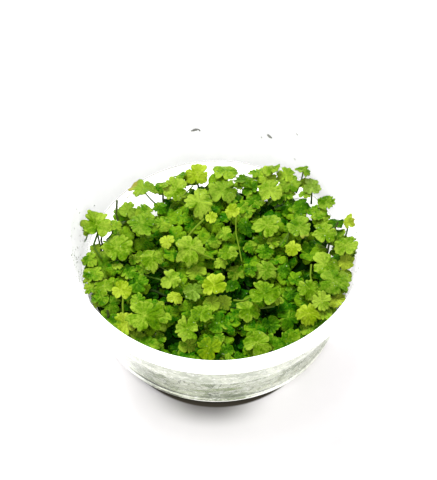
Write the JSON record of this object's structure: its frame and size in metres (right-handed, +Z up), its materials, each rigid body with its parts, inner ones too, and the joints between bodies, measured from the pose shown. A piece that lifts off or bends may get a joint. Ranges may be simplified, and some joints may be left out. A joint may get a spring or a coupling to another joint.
{
  "type": "culture cup of tripartite pennywort",
  "caption": "Open round tapered culture cup with pale gel and a dense low growth of three-lobed aquarium foreground plant.",
  "frame": {"origin": "middle of the cup's foot ring, on the surface that it stands on", "axes": "+Z up out of the cup's mouth, the picture's viewer stands at -Y, +X to that viewer's right"},
  "size_m": [0.099, 0.099, 0.039],
  "materials": {
    "clear_plastic": "milky clear thin polypropylene with a glossy surface, opaque white at the rim",
    "culture_gel": "pale cloudy wet gel with roots in it; stands in for agar",
    "undergrowth": "dark green stems and small leaves, satin; stands in for living plant",
    "leaf_lime": "yellow-green young leaf, satin and moist",
    "leaf_light": "light green leaf, satin and moist",
    "leaf_mid": "mid green leaf, satin and moist",
    "leaf_olive": "dull olive green leaf, satin"
  },
  "bodies": {
    "root": {"cup": "clear_plastic", "gel": "culture_gel", "undergrowth": "undergrowth", "leaf_01": "leaf_light", "leaf_02": "leaf_mid", "leaf_03": "leaf_light", "leaf_04": "leaf_mid", "leaf_05": "leaf_mid", "leaf_06": "leaf_mid", "leaf_07": "leaf_light", "leaf_08": "leaf_lime", "leaf_09": "leaf_light", "leaf_10": "leaf_lime", "leaf_11": "leaf_light", "leaf_12": "leaf_mid", "leaf_13": "leaf_mid", "leaf_14": "leaf_lime", "leaf_15": "leaf_lime", "leaf_16": "leaf_light", "leaf_17": "leaf_light", "leaf_18": "leaf_light", "leaf_19": "leaf_light", "leaf_20": "leaf_light", "leaf_21": "leaf_mid", "leaf_22": "leaf_mid", "leaf_23": "leaf_olive", "leaf_24": "leaf_mid", "leaf_25": "leaf_mid", "leaf_26": "leaf_light", "leaf_27": "leaf_lime", "leaf_28": "leaf_light", "leaf_29": "leaf_lime", "leaf_30": "leaf_lime", "leaf_31": "leaf_light", "leaf_32": "leaf_lime", "leaf_33": "leaf_light", "leaf_34": "leaf_light", "leaf_35": "leaf_lime", "leaf_36": "leaf_light", "leaf_37": "leaf_lime", "leaf_38": "leaf_olive", "leaf_39": "leaf_lime", "leaf_40": "leaf_light", "leaf_41": "leaf_light", "leaf_42": "leaf_lime", "leaf_43": "leaf_light", "leaf_44": "leaf_light", "leaf_45": "leaf_light", "leaf_46": "leaf_mid", "leaf_47": "leaf_light", "leaf_48": "leaf_mid", "leaf_49": "leaf_lime", "leaf_50": "leaf_light", "leaf_51": "leaf_lime", "leaf_52": "leaf_light"}
  },
  "joints": []
}
